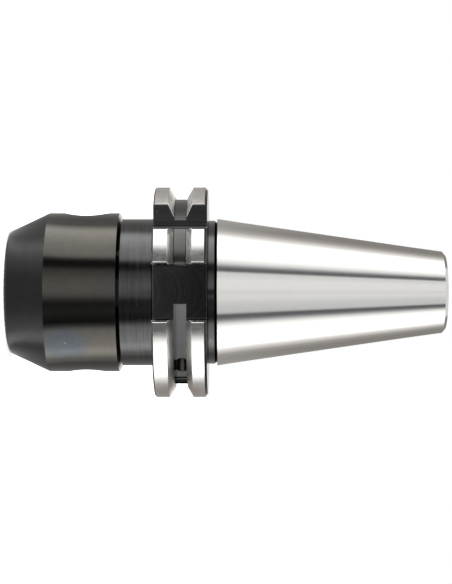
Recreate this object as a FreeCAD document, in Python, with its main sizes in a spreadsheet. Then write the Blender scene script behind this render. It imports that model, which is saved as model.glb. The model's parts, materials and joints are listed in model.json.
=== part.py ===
import FreeCAD, Part
import os
import Sketcher

# Side-lock end mill holder with a 7:24 steep taper, size 40, and a V-flange
#
# The holder stands on its nose face. Its axis is +Z, the origin is the centre of the nose
# face, and the small end of the taper is on top. The deeper keyway faces -Y, the clamping
# screw looks out along -X, and the balancing slot is on the +X side of the flange.

doc = FreeCAD.newDocument("EndMillHolder")
size = doc.addObject("Spreadsheet::Sheet", "size")

# Driving dimensions, in millimetres and degrees

DIMENSIONS = [
    ("gauge_length", 63.0, "nose face to gauge plane"),
    ("gauge_diameter", 44.45, "taper diameter at the gauge plane"),
    ("taper_length", 68.4, "gauge plane to small end"),
    ("taper_rise", 7.0, "change of the taper's diameter"),
    ("taper_run", 24.0, "length over which the diameter changes by taper_rise"),
    ("taper_end_chamfer", 0.9, "bevel on the small end"),
    ("taper_overrun", 0.4, "ground taper that runs on past the gauge plane"),
    ("taper_mouth_chamfer", 0.1, "bevel on the large end"),
    ("flange_diameter", 63.55, "outside of the flange"),
    ("flange_setback", 3.2, "gauge plane to the flange's taper side"),
    ("flange_thickness", 15.9, "flange between its two sides"),
    ("flange_front_chamfer", 0.45, "bevel on the flange's nose side"),
    ("flange_rear_chamfer", 0.75, "bevel on the flange's taper side"),
    ("groove_setback", 11.1, "gauge plane to the middle of the gripper groove"),
    ("groove_mouth_width", 7.07, "gripper groove at the flange's outside"),
    ("groove_angle", 60.0, "between the groove's two flanks"),
    ("groove_floor_width", 3.75, "straight channel at the groove's bottom"),
    ("groove_floor_diameter", 56.25, "bottom of the channel"),
    ("keyway_width", 16.1, "both keyways"),
    ("deep_keyway_floor", 22.8, "holder axis to the floor on the -Y side"),
    ("shallow_keyway_floor", 25.0, "holder axis to the floor on the +Y side"),
    ("keyway_corner_radius", 0.6, "along the floors"),
    ("keyway_edge_chamfer", 0.9, "bevel along the lands"),
    ("notch_distance", 18.5, "holder axis to both faces of the orientation notch"),
    ("notch_corner_radius", 1.3, "inner corner of the orientation notch"),
    ("notch_edge_chamfer", 0.3, "bevel where the notch meets the flange's outside"),
    ("rear_neck_diameter", 43.4, "between flange and taper"),
    ("relief_width", 0.75, "sloping grinding relief beside the taper"),
    ("relief_diameter", 42.0, "bottom of the grinding relief"),
    ("front_neck_diameter", 44.4, "between collar and flange"),
    ("collar_diameter", 48.0, "the thick stretch around the clamping screw"),
    ("collar_end", 33.1, "nose face to the collar's shoulder"),
    ("shoulder_length", 1.0, "sloping shoulder down to the front neck"),
    ("nose_length", 12.0, "nose face to the end of the nose cone"),
    ("nose_diameter", 36.6, "nose cone where it would meet the nose face"),
    ("nose_edge_radius", 0.6, "rounding between nose face and nose cone"),
    ("bore_diameter", 16.0, "bore for the end mill's shank"),
    ("bore_depth", 50.0, "full depth of that bore"),
    ("bore_mouth_chamfer", 0.8, "lead-in of that bore"),
    ("coolant_diameter", 8.0, "through hole behind the bore"),
    ("drill_point_angle", 118.0, "cone left by each drill"),
    ("thread_diameter", 16.0, "drawbar thread, cut at its outer diameter"),
    ("thread_core_diameter", 13.84, "tapping drill ahead of the drawbar thread"),
    ("thread_depth", 32.0, "small end to the last thread"),
    ("thread_drill_depth", 43.0, "small end to the end of the tapping drill"),
    ("pilot_diameter", 17.0, "locating bore ahead of the drawbar thread"),
    ("pilot_depth", 8.2, "small end to the end of the locating bore"),
    ("pilot_mouth_chamfer", 0.8, "lead-in of the locating bore"),
    ("screw_diameter", 14.0, "clamping screw"),
    ("screw_length", 14.0, "clamping screw, end to end"),
    ("screw_station", 23.3, "nose face to the clamping screw's axis"),
    ("screw_clearance", 0.05, "radial gap between clamping screw and its hole"),
    ("screw_backoff", 0.2, "shank bore's wall to the backed-off screw's tip"),
    ("screw_tip_diameter", 10.5, "flat tip that bears on the shank"),
    ("screw_tip_chamfer", 1.6, "length of the cone behind the tip"),
    ("screw_top_chamfer", 0.8, "bevel around the socket end"),
    ("socket_width", 6.0, "hexagon across its flats"),
    ("socket_depth", 7.0, "depth of the hexagon"),
    ("recess_diameter", 11.6, "balancing recess opposite the clamping screw"),
    ("recess_depth", 2.0, "depth of the balancing recess"),
    ("slot_angle", 49.3, "slot floor's normal, turned from -Y towards +X"),
    ("slot_floor_distance", 17.48, "holder axis to the slot's floor"),
    ("slot_width", 3.75, "balancing slot between its walls, as wide as the channel"),
    ("slot_reach", 20.9, "middle of the slot's floor to its end wall"),
    ("slot_end_radius", 1.0, "rounding between the slot's floor and its end wall"),
    ("balance_hole_diameter", 5.0, "drilled from the +X side through the slot's floor"),
    ("balance_hole_offset", 1.25, "hole's axis from the holder's axis, towards -Y"),
    ("balance_hole_floor", 15.5, "holder axis to the drill's full depth"),
]

for row, (alias, value, meaning) in enumerate(DIMENSIONS, start=1):
    size.set(f"A{row}", meaning)
    size.set(f"B{row}", str(value))
    size.setAlias(f"B{row}", alias)
doc.recompute()

# Distances that several features share, as expressions of the driving dimensions

GAUGE_PLANE = "size.gauge_length"
TAPER_START = f"({GAUGE_PLANE} - size.taper_overrun)"
SMALL_END = "(size.gauge_length + size.taper_length)"
TAPER_SLOPE = "(size.taper_rise / size.taper_run / 2)"
SMALL_END_RADIUS = f"(size.gauge_diameter / 2 - size.taper_length * {TAPER_SLOPE})"
FLANGE_RADIUS = "(size.flange_diameter / 2)"
FLANGE_REAR = "(size.gauge_length - size.flange_setback)"
FLANGE_FRONT = f"({FLANGE_REAR} - size.flange_thickness)"
GROOVE_MIDDLE = "(size.gauge_length - size.groove_setback)"
HALF_CHANNEL = "(size.groove_floor_width / 2)"
FLANK_TANGENT = "tan(size.groove_angle / 2)"
GROOVE_APEX = f"({FLANGE_RADIUS} - size.groove_mouth_width / 2 / {FLANK_TANGENT})"
COLLAR_RADIUS = "(size.collar_diameter / 2)"
DRILL_TANGENT = "tan(90 - size.drill_point_angle / 2)"
TAPER_START_RADIUS = f"(size.gauge_diameter / 2 + size.taper_overrun * {TAPER_SLOPE})"
HALF_KEYWAY = "(size.keyway_width / 2)"


def evaluate(expression):
    """Today's value of an expression of the driving dimensions."""
    return float(size.evalExpression(expression))


def origin_feature(body, role):
    """One of a body's own origin planes or axes."""
    return next(item for item in body.Origin.OriginFeatures if item.Role == role)


def new_body(name):
    """An empty body whose label is its node name."""
    body = doc.addObject("PartDesign::Body", name)
    body.Label = name
    return body


def new_sketch(body, name, plane, offset=("0", "0", "0")):
    """A sketch on one of the body's origin planes, moved within it by expressions."""
    sketch = body.newObject("Sketcher::SketchObject", name)
    sketch.AttachmentSupport = [(origin_feature(body, plane), "")]
    sketch.MapMode = "FlatFace"
    for axis, distance in zip("xyz", offset):
        sketch.setExpression(f"AttachmentOffset.Base.{axis}", f"({distance}) * 1 mm")
    return sketch


def pin_point(sketch, geometry, vertex, across, up):
    """Fix one sketch point at two expressions, measured from the sketch's origin."""
    for kind, expression in (("DistanceX", across), ("DistanceY", up)):
        index = sketch.addConstraint(
            Sketcher.Constraint(kind, -1, 1, geometry, vertex, evaluate(expression)))
        sketch.setExpression(f"Constraints[{index}]", expression)


def draw_outline(sketch, points):
    """A closed outline through points, each a pair of expressions.

    A point that carries a third entry, (across, up) of a centre and a turning sense, ends an
    arc that starts at the point before it.
    """
    places = [FreeCAD.Vector(evaluate(point[0]), evaluate(point[1]), 0) for point in points]
    ends = []
    for index, point in enumerate(points):
        start, end = places[index - 1], places[index]
        if len(point) == 2:
            edge = sketch.addGeometry(Part.LineSegment(start, end))
            ends.append((edge, 1, 2))
            continue
        centre = FreeCAD.Vector(evaluate(point[2][0]), evaluate(point[2][1]), 0)
        turns_left = point[3]
        first, last = (start, end) if turns_left else (end, start)
        radius = (start - centre).Length
        circle = Part.Circle(centre, FreeCAD.Vector(0, 0, 1), radius)
        arc = Part.ArcOfCircle(circle, circle.parameter(first), circle.parameter(last))
        edge = sketch.addGeometry(arc)
        ends.append((edge, 1, 2) if turns_left else (edge, 2, 1))
    for index, (edge, start_vertex, end_vertex) in enumerate(ends):
        before = ends[index - 1]
        sketch.addConstraint(
            Sketcher.Constraint("Coincident", before[0], before[2], edge, start_vertex))
        pin_point(sketch, edge, end_vertex, points[index][0], points[index][1])
        if len(points[index]) > 2:
            chord = places[index] - places[index - 1]
            steep = abs(chord.y) > abs(chord.x)
            kind, expression = list(zip(("DistanceX", "DistanceY"), points[index][2]))[not steep]
            number = sketch.addConstraint(
                Sketcher.Constraint(kind, -1, 1, edge, 3, evaluate(expression)))
            sketch.setExpression(f"Constraints[{number}]", expression)


def draw_circle(sketch, across, up, diameter):
    """A full circle whose centre and diameter are expressions."""
    centre = FreeCAD.Vector(evaluate(across), evaluate(up), 0)
    circle = Part.Circle(centre, FreeCAD.Vector(0, 0, 1), evaluate(diameter) / 2)
    edge = sketch.addGeometry(circle)
    pin_point(sketch, edge, 3, across, up)
    number = sketch.addConstraint(Sketcher.Constraint("Diameter", edge, evaluate(diameter)))
    sketch.setExpression(f"Constraints[{number}]", diameter)


def turn_profile(body, kind, name, points):
    """A full turn about the body's own Z axis: added material or a groove."""
    sketch = new_sketch(body, f"{name}_profile", "XZ_Plane")
    draw_outline(sketch, points)
    feature = body.newObject(f"PartDesign::{kind}", name)
    feature.Profile = sketch
    feature.ReferenceAxis = (sketch, ["V_Axis"])
    feature.Angle = 360
    doc.recompute()
    return feature


def cut_pocket(body, name, sketch, outwards, length=None):
    """A pocket from a sketch, along its normal if outwards. No length cuts through all."""
    volume = body.Shape.Volume
    feature = body.newObject("PartDesign::Pocket", name)
    feature.Profile = sketch
    feature.Reversed = outwards
    feature.Type = "Length" if length else "ThroughAll"
    if length:
        feature.setExpression("Length", f"({length}) * 1 mm")
    doc.recompute()
    if body.Shape.Volume >= volume:
        raise RuntimeError(f"{name} cuts nothing")
    return feature


# The holder's turned outside

holder = new_body("holder_body")

NOSE_RADIUS = "(size.nose_diameter / 2)"
NOSE_TURN = f"atan(size.nose_length / ({COLLAR_RADIUS} - {NOSE_RADIUS}))"
NOSE_TANGENT = f"(size.nose_edge_radius * tan({NOSE_TURN} / 2))"
NOSE_ARC_CENTRE = f"({NOSE_RADIUS} - {NOSE_TANGENT})"

turn_profile(holder, "Revolution", "turned_outside", [
    ("0", "0"),
    (NOSE_ARC_CENTRE, "0"),
    (f"{NOSE_RADIUS} + {NOSE_TANGENT} * cos({NOSE_TURN})", f"{NOSE_TANGENT} * sin({NOSE_TURN})",
     (NOSE_ARC_CENTRE, "size.nose_edge_radius"), True),
    (COLLAR_RADIUS, "size.nose_length"),
    (COLLAR_RADIUS, "size.collar_end"),
    ("size.front_neck_diameter / 2", "size.collar_end + size.shoulder_length"),
    ("size.front_neck_diameter / 2", FLANGE_FRONT),
    (f"{FLANGE_RADIUS} - size.flange_front_chamfer", FLANGE_FRONT),
    (FLANGE_RADIUS, f"{FLANGE_FRONT} + size.flange_front_chamfer"),
    (FLANGE_RADIUS, f"{FLANGE_REAR} - size.flange_rear_chamfer"),
    (f"{FLANGE_RADIUS} - size.flange_rear_chamfer", FLANGE_REAR),
    ("size.rear_neck_diameter / 2", FLANGE_REAR),
    ("size.rear_neck_diameter / 2", f"{TAPER_START} - size.relief_width"),
    ("size.relief_diameter / 2", TAPER_START),
    (f"{TAPER_START_RADIUS} - size.taper_mouth_chamfer", TAPER_START),
    (f"{TAPER_START_RADIUS} - size.taper_mouth_chamfer * {TAPER_SLOPE}",
     f"{TAPER_START} + size.taper_mouth_chamfer"),
    (f"{SMALL_END_RADIUS} + size.taper_end_chamfer * {TAPER_SLOPE}",
     f"{SMALL_END} - size.taper_end_chamfer"),
    (f"{SMALL_END_RADIUS} - size.taper_end_chamfer", SMALL_END),
    ("0", SMALL_END),
])

# The gripper groove around the flange: two sloping flanks and a straight channel

GROOVE_OVERSHOOT = "1"
CHANNEL_TOP = f"({GROOVE_APEX} + {HALF_CHANNEL} / {FLANK_TANGENT})"
OUTSIDE = f"({FLANGE_RADIUS} + {GROOVE_OVERSHOOT})"
HALF_OUTSIDE = f"(({OUTSIDE} - {GROOVE_APEX}) * {FLANK_TANGENT})"

turn_profile(holder, "Groove", "gripper_groove", [
    ("size.groove_floor_diameter / 2", f"{GROOVE_MIDDLE} - {HALF_CHANNEL}"),
    (CHANNEL_TOP, f"{GROOVE_MIDDLE} - {HALF_CHANNEL}"),
    (OUTSIDE, f"{GROOVE_MIDDLE} - {HALF_OUTSIDE}"),
    (OUTSIDE, f"{GROOVE_MIDDLE} + {HALF_OUTSIDE}"),
    (CHANNEL_TOP, f"{GROOVE_MIDDLE} + {HALF_CHANNEL}"),
    ("size.groove_floor_diameter / 2", f"{GROOVE_MIDDLE} + {HALF_CHANNEL}"),
])

# Everything bored along the axis: shank bore, coolant hole, drawbar thread and locating bore

COOLANT_RADIUS = "(size.coolant_diameter / 2)"
THREAD_RADIUS = "(size.thread_diameter / 2)"
CORE_RADIUS = "(size.thread_core_diameter / 2)"
PILOT_RADIUS = "(size.pilot_diameter / 2)"
THREAD_START = f"({SMALL_END} - size.thread_depth)"
THREAD_DRILL_START = f"({SMALL_END} - size.thread_drill_depth)"

turn_profile(holder, "Groove", "axial_bores", [
    ("0", "0"),
    ("size.bore_diameter / 2 + size.bore_mouth_chamfer", "0"),
    ("size.bore_diameter / 2", "size.bore_mouth_chamfer"),
    ("size.bore_diameter / 2", "size.bore_depth"),
    (COOLANT_RADIUS,
     f"size.bore_depth + (size.bore_diameter / 2 - {COOLANT_RADIUS}) * {DRILL_TANGENT}"),
    (COOLANT_RADIUS, f"{THREAD_DRILL_START} - ({CORE_RADIUS} - {COOLANT_RADIUS}) * {DRILL_TANGENT}"),
    (CORE_RADIUS, THREAD_DRILL_START),
    (CORE_RADIUS, THREAD_START),
    (THREAD_RADIUS, f"{THREAD_START} + {THREAD_RADIUS} - {CORE_RADIUS}"),
    (THREAD_RADIUS, f"{SMALL_END} - size.pilot_depth"),
    (PILOT_RADIUS, f"{SMALL_END} - size.pilot_depth"),
    (PILOT_RADIUS, f"{SMALL_END} - size.pilot_mouth_chamfer"),
    (f"{PILOT_RADIUS} + size.pilot_mouth_chamfer", SMALL_END),
    ("0", SMALL_END),
])


# Two drive keyways through the flange, each with rounded floor corners and bevelled lands

def keyway_outline(floor, side):
    """The keyway's section in the XY plane, on the -Y side for side -1 and +Y for 1."""
    land = f"sqrt({FLANGE_RADIUS} ^ 2 - {HALF_KEYWAY} ^ 2)"
    overshoot = "2"
    corner = "size.keyway_corner_radius"
    half = HALF_KEYWAY
    flare = f"({half} + size.keyway_edge_chamfer + {overshoot})"
    right_wall = [
        (flare, f"{side} * ({land} + {overshoot})"),
        (half, f"{side} * ({land} - size.keyway_edge_chamfer)"),
        (half, f"{side} * ({floor} + {corner})"),
        (f"{half} - {corner}", f"{side} * {floor}",
         (f"{half} - {corner}", f"{side} * ({floor} + {corner})"), side < 0),
    ]
    left_wall = [
        (f"-({half} - {corner})", f"{side} * {floor}"),
        (f"-{half}", f"{side} * ({floor} + {corner})",
         (f"-({half} - {corner})", f"{side} * ({floor} + {corner})"), side < 0),
        (f"-{half}", f"{side} * ({land} - size.keyway_edge_chamfer)"),
        (f"-{flare}", f"{side} * ({land} + {overshoot})"),
    ]
    return right_wall + left_wall


for keyway_name, keyway_floor, keyway_side in (
        ("deep_keyway", "size.deep_keyway_floor", -1),
        ("shallow_keyway", "size.shallow_keyway_floor", 1)):
    keyway_sketch = new_sketch(holder, f"{keyway_name}_section", "XY_Plane",
                               ("0", "0", FLANGE_FRONT))
    draw_outline(keyway_sketch, keyway_outline(keyway_floor, keyway_side))
    cut_pocket(holder, keyway_name, keyway_sketch, True, "size.flange_thickness")

# The square orientation notch, cut right through the flange between -X and -Y

NOTCH_CORNER = "size.notch_corner_radius"
NOTCH_BEVEL = "size.notch_edge_chamfer"
NOTCH_LAND = f"sqrt({FLANGE_RADIUS} ^ 2 - size.notch_distance ^ 2)"
notch_sketch = new_sketch(holder, "orientation_notch_section", "XY_Plane", ("0", "0", FLANGE_FRONT))
draw_outline(notch_sketch, [
    (f"-(size.notch_distance - {NOTCH_BEVEL})", f"-{OUTSIDE}"),
    (f"-(size.notch_distance - {NOTCH_BEVEL})", f"-{NOTCH_LAND}"),
    ("-size.notch_distance", f"-({NOTCH_LAND} - {NOTCH_BEVEL})"),
    ("-size.notch_distance", f"-(size.notch_distance + {NOTCH_CORNER})"),
    (f"-(size.notch_distance + {NOTCH_CORNER})", "-size.notch_distance",
     (f"-(size.notch_distance + {NOTCH_CORNER})", f"-(size.notch_distance + {NOTCH_CORNER})"), True),
    (f"-({NOTCH_LAND} - {NOTCH_BEVEL})", "-size.notch_distance"),
    (f"-{NOTCH_LAND}", f"-(size.notch_distance - {NOTCH_BEVEL})"),
    (f"-{OUTSIDE}", f"-(size.notch_distance - {NOTCH_BEVEL})"),
    (f"-{OUTSIDE}", f"-{OUTSIDE}"),
])
cut_pocket(holder, "orientation_notch", notch_sketch, True, "size.flange_thickness")

# The balancing slot in the bottom of the gripper groove. Its flat floor starts in the deep
# keyway and curves up into an end wall just past the +X side.

SLOT_START = f"-{FLANGE_RADIUS}"
SLOT_FLOOR_END = "(size.slot_reach - size.slot_end_radius)"
SLOT_CURVE_TOP = "(size.slot_floor_distance + size.slot_end_radius)"


def slot_place(reach, distance):
    """A place in the XY plane: reach along the slot's floor, distance outwards from the axis."""
    return (f"({distance}) * sin(size.slot_angle) + ({reach}) * cos(size.slot_angle)",
            f"({reach}) * sin(size.slot_angle) - ({distance}) * cos(size.slot_angle)")


slot_sketch = new_sketch(holder, "balancing_slot_section", "XY_Plane",
                         ("0", "0", f"({GROOVE_MIDDLE} - size.slot_width / 2)"))
draw_outline(slot_sketch, [
    slot_place(SLOT_START, "size.slot_floor_distance"),
    slot_place(SLOT_FLOOR_END, "size.slot_floor_distance"),
    (*slot_place("size.slot_reach", SLOT_CURVE_TOP), slot_place(SLOT_FLOOR_END, SLOT_CURVE_TOP), False),
    slot_place("size.slot_reach", OUTSIDE),
    slot_place(SLOT_START, OUTSIDE),
])
cut_pocket(holder, "balancing_slot", slot_sketch, True, "size.slot_width")

# The drilled balancing hole, parallel to X, that opens in the slot's floor

drill_sketch = new_sketch(holder, "balancing_hole_section", "YZ_Plane",
                          ("0", "0", "size.balance_hole_floor"))
draw_circle(drill_sketch, "-size.balance_hole_offset", GROOVE_MIDDLE, "size.balance_hole_diameter")
cut_pocket(holder, "balancing_hole", drill_sketch, True)

# The clamping screw's hole, from the shank bore out through the collar towards -X

SCREW_HOLE_DIAMETER = "(size.screw_diameter + 2 * size.screw_clearance)"
screw_hole_sketch = new_sketch(holder, "screw_hole_section", "YZ_Plane")
draw_circle(screw_hole_sketch, "0", "size.screw_station", SCREW_HOLE_DIAMETER)
cut_pocket(holder, "screw_hole", screw_hole_sketch, False)

# The shallow balancing recess opposite the clamping screw

recess_sketch = new_sketch(holder, "balancing_recess_section", "YZ_Plane",
                           ("0", "0", f"{COLLAR_RADIUS} - size.recess_depth"))
draw_circle(recess_sketch, "0", "size.screw_station", "size.recess_diameter")
cut_pocket(holder, "balancing_recess", recess_sketch, True, "size.recess_depth")

# The clamping screw, drawn upright with its tip at its own origin

screw = new_body("clamping_screw")
SCREW_RADIUS = "(size.screw_diameter / 2)"

turn_profile(screw, "Revolution", "turned_screw", [
    ("0", "0"),
    ("size.screw_tip_diameter / 2", "0"),
    (SCREW_RADIUS, "size.screw_tip_chamfer"),
    (SCREW_RADIUS, "size.screw_length - size.screw_top_chamfer"),
    (f"{SCREW_RADIUS} - size.screw_top_chamfer", "size.screw_length"),
    ("0", "size.screw_length"),
])

HALF_SOCKET = "(size.socket_width / 2)"
SOCKET_CORNER = f"({HALF_SOCKET} / cos(30))"
hexagon = []
for corner_number in range(6):
    corner_angle = 60 * corner_number
    hexagon.append((f"{SOCKET_CORNER} * cos({corner_angle})", f"{SOCKET_CORNER} * sin({corner_angle})"))
socket_sketch = new_sketch(screw, "hexagon_socket_section", "XY_Plane",
                           ("0", "0", "size.screw_length"))
draw_outline(socket_sketch, hexagon)
cut_pocket(screw, "hexagon_socket", socket_sketch, False, "size.socket_depth")

# The drill's cone at the bottom of the hexagon

SOCKET_FLOOR = "(size.screw_length - size.socket_depth)"
turn_profile(screw, "Groove", "socket_drill_point", [
    ("0", f"{SOCKET_FLOOR} - {HALF_SOCKET} * {DRILL_TANGENT}"),
    (HALF_SOCKET, SOCKET_FLOOR),
    ("0", SOCKET_FLOOR),
])

# The screw lies across the holder with its socket towards -X, backed off so that its tip is
# just clear of the shank bore

screw.Placement = FreeCAD.Placement(
    FreeCAD.Vector(), FreeCAD.Rotation(FreeCAD.Vector(0, 1, 0), -90))
screw.setExpression("Placement.Base.x", "-(size.bore_diameter / 2 + size.screw_backoff) * 1 mm")
screw.setExpression("Placement.Base.z", "size.screw_station * 1 mm")
doc.recompute()

# Every feature must have worked and every piece must be one valid solid

for item in doc.Objects:
    if "Invalid" in item.State or "Error" in item.State:
        raise RuntimeError(f"{item.Label} failed: {item.State}")

os.makedirs("parts", exist_ok=True)
for piece in (holder, screw):
    shape = piece.Shape
    if shape.isNull() or not shape.isValid() or len(shape.Solids) != 1:
        raise RuntimeError(f"{piece.Label} isn't one valid solid")
for piece in (holder, screw):
    piece.Shape.exportStep(f"parts/{piece.Label}.step")
    print(piece.Label, "volume", round(piece.Shape.Volume, 1), "mm3, box", piece.Shape.BoundBox)
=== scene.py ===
import json
import math

import bmesh
import bpy
from mathutils import Matrix, Vector


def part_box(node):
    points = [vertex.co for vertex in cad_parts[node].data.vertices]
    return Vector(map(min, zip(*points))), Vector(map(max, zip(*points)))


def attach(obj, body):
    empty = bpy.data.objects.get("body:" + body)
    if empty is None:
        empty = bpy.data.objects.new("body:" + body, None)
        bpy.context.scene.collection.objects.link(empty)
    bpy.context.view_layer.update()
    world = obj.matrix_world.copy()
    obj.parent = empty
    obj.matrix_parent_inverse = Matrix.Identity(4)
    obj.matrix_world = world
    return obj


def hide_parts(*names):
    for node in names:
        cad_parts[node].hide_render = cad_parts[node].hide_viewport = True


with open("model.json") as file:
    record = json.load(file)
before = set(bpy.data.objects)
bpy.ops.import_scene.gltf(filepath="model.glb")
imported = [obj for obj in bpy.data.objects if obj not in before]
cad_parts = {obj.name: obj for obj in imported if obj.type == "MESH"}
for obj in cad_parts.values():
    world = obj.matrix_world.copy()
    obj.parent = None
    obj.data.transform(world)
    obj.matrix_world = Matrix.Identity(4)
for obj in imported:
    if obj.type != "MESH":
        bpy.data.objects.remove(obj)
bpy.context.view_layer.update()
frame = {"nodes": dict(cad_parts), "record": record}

# Side-lock end mill holder, standing on its nose face, seen from -Y. The camera is rolled, so
# that the holder's +Z points to the right in the picture and its -X points up.

MM = 0.001
SCREW_PITCH = 2 * MM
DRAWBAR_PITCH = 2 * MM

# Places read from the frame

mounts = {mount["name"]: mount for mount in frame["record"]["mounts"]}
holder_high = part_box("holder_body")[1]
screw_low, screw_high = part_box("clamping_screw")
FLANGE_RADIUS = holder_high.x
SMALL_END = holder_high.z
GAUGE_PLANE = mounts["taper"]["pos_m"][2]
GROOVE_MIDDLE = mounts["gripper_groove"]["pos_m"][2]
SCREW_STATION = (screw_low.z + screw_high.z) / 2
SCREW_RADIUS = (screw_high.z - screw_low.z) / 2
SCREW_LENGTH = screw_high.x - screw_low.x
SCREW_TIP = screw_high.x

# Places along and about the axis, in millimetres, that tell one finish from another

GAUGE = GAUGE_PLANE / MM
FLANGE = FLANGE_RADIUS / MM
MIDDLE = GROOVE_MIDDLE / MM
END = SMALL_END / MM
TAPER_MOUTH = GAUGE - 0.4
BORE_RADIUS = mounts["drawbar_pilot"]["dims"]["r_mm"]
BORE_RIM = 1.0
FLANGE_REAR = GAUGE - 3.2
FLANGE_FRONT = FLANGE_REAR - 15.9
FRONT_CHAMFER = 0.45
REAR_CHAMFER = 0.75
REAR_NECK = 43.4 / 2
FRONT_NECK = 44.4 / 2
COLLAR_END = 33.1
SHOULDER = 1.0
NOSE_END = 12.0
GROOVE_HALF_MOUTH = 7.07 / 2
GROOVE_HALF_FLOOR = 3.75 / 2
GROOVE_SLOPE = math.tan(math.radians(30))
GROOVE_APEX = FLANGE - GROOVE_HALF_MOUTH / GROOVE_SLOPE
CHANNEL_TOP = GROOVE_APEX + GROOVE_HALF_FLOOR / GROOVE_SLOPE
CHANNEL_FLOOR = 56.25 / 2
HALF_KEYWAY = 16.1 / 2
KEYWAY_BEVEL = 0.7
SLOT_ANGLE = math.radians(49.3)
SLOT_FLOOR = 17.48
BALANCE_HOLE_OFFSET = 1.25
BALANCE_HOLE_RADIUS = 2.5

# Half the width of the ramps at the finishes' limits

FINE_BLUR = 0.01
LINE_BLUR = 0.02
LAND_BLUR = 0.03
SOFT_BLUR = 0.04
NOSE_BLUR = 0.05
NECK_BLUR = 0.10

# How far a finish reaches past its surface or stops short of it, and where small ones lie

MARGIN = 0.05
WIDE_MARGIN = 0.1
SLOT_MARGIN = 0.12
CORNER_MARGIN = 0.03
TAPER_RIM = 0.03
LAND_SKIN = 0.16
FLANK_SKIN = 0.09
FLANGE_FOOT = 0.8
WALL_FOOT = 0.2
HOLE_FROM_AXIS = 15.0
HOLE_ALONG_NORMAL = (8.0, SLOT_FLOOR - 0.06)
CORNER_WIDTH = 0.22
FRONT_CORNER = 0.45
REAR_CORNER = 0.35
WORN_LIT_END = (0.03, 0.22)
WORN_LIT_WALL = 0.14
WORN_LIT_RIM = 0.16


class NodeTree:
    """Short calls for building a material's or the world's nodes."""

    def __init__(self, owner):
        owner.use_nodes = True
        self.tree = owner.node_tree
        self.tree.nodes.clear()

    def add(self, kind, inputs=(), **settings):
        """A node with its settings and inputs set. An input that is a socket is linked."""
        node = self.tree.nodes.new(kind)
        for name, value in settings.items():
            setattr(node, name, value)
        for key, value in dict(inputs).items():
            if isinstance(value, bpy.types.NodeSocket):
                self.tree.links.new(value, node.inputs[key])
            else:
                node.inputs[key].default_value = value
        return node

    def math(self, operation, first, second=0.0, third=0.0):
        """One number from a Math node."""
        inputs = {0: first, 1: second, 2: third}
        return self.add("ShaderNodeMath", inputs, operation=operation).outputs[0]

    def square(self, value):
        """A number times itself."""
        return self.math("MULTIPLY", value, value)

    def inverse(self, mask):
        """1 where a mask is 0."""
        return self.math("SUBTRACT", 1.0, mask)

    def either(self, first, *others):
        """The strongest of several masks."""
        for mask in others:
            first = self.math("MAXIMUM", first, mask)
        return first

    def ramp(self, value, start, end, low=0.0, high=1.0):
        """A number that goes from low to high while a value goes from start to end."""
        limits = {"Value": value, "From Min": start, "From Max": end, "To Min": low, "To Max": high}
        return self.add("ShaderNodeMapRange", limits).outputs["Result"]

    def above(self, value, limit, blur=LINE_BLUR):
        """0 below the limit and 1 above it, with a short ramp."""
        return self.ramp(value, limit - blur, limit + blur)

    def between(self, value, low, high, blur=LINE_BLUR):
        """1 between two limits and 0 outside them."""
        return self.math("SUBTRACT", self.above(value, low, blur), self.above(value, high, blur))

    def both(self, first, second):
        """Two masks at once."""
        return self.math("MULTIPLY", first, second)

    def blend(self, mask, first, second):
        """A number that goes from first to second with the mask."""
        node = self.add("ShaderNodeMix", {"Factor": mask}, data_type="FLOAT")
        for socket, value in zip(node.inputs[2:4], (first, second)):
            if isinstance(value, bpy.types.NodeSocket):
                self.tree.links.new(value, socket)
            else:
                socket.default_value = value
        return node.outputs[0]

    def tint(self, mask, first, second):
        """A colour that goes from first to second with the mask."""
        node = self.add("ShaderNodeMix", data_type="RGBA")
        colour_inputs = [socket for socket in node.inputs if socket.type == "RGBA"]
        self.tree.links.new(mask, node.inputs["Factor"])
        for socket, value in zip(colour_inputs, (first, second)):
            if isinstance(value, bpy.types.NodeSocket):
                self.tree.links.new(value, socket)
            else:
                socket.default_value = (*value, 1.0)
        return next(socket for socket in node.outputs if socket.type == "RGBA")

    def noise(self, vector, scale=1.0, detail=2.0, roughness=0.5):
        """Noise about 0.5 from a place in millimetres."""
        return self.add("ShaderNodeTexNoise", {
            "Vector": vector, "Scale": scale, "Detail": detail, "Roughness": roughness}).outputs[0]

    def vector(self, across, along, up):
        """A vector from three numbers."""
        return self.add("ShaderNodeCombineXYZ", {"X": across, "Y": along, "Z": up}).outputs[0]

    def place(self):
        """The surface point in millimetres, its three numbers and its distance from the Z axis."""
        scaled = self.add("ShaderNodeVectorMath", {
            0: self.add("ShaderNodeTexCoord").outputs["Object"], 1: (1 / MM,) * 3}, operation="MULTIPLY")
        split = self.add("ShaderNodeSeparateXYZ", {"Vector": scaled.outputs[0]})
        across, along, up = split.outputs
        squares = self.math("ADD", self.square(across), self.square(along))
        return across, along, up, self.math("SQRT", squares)


# Finishes: linear reflectance and roughness

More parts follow.
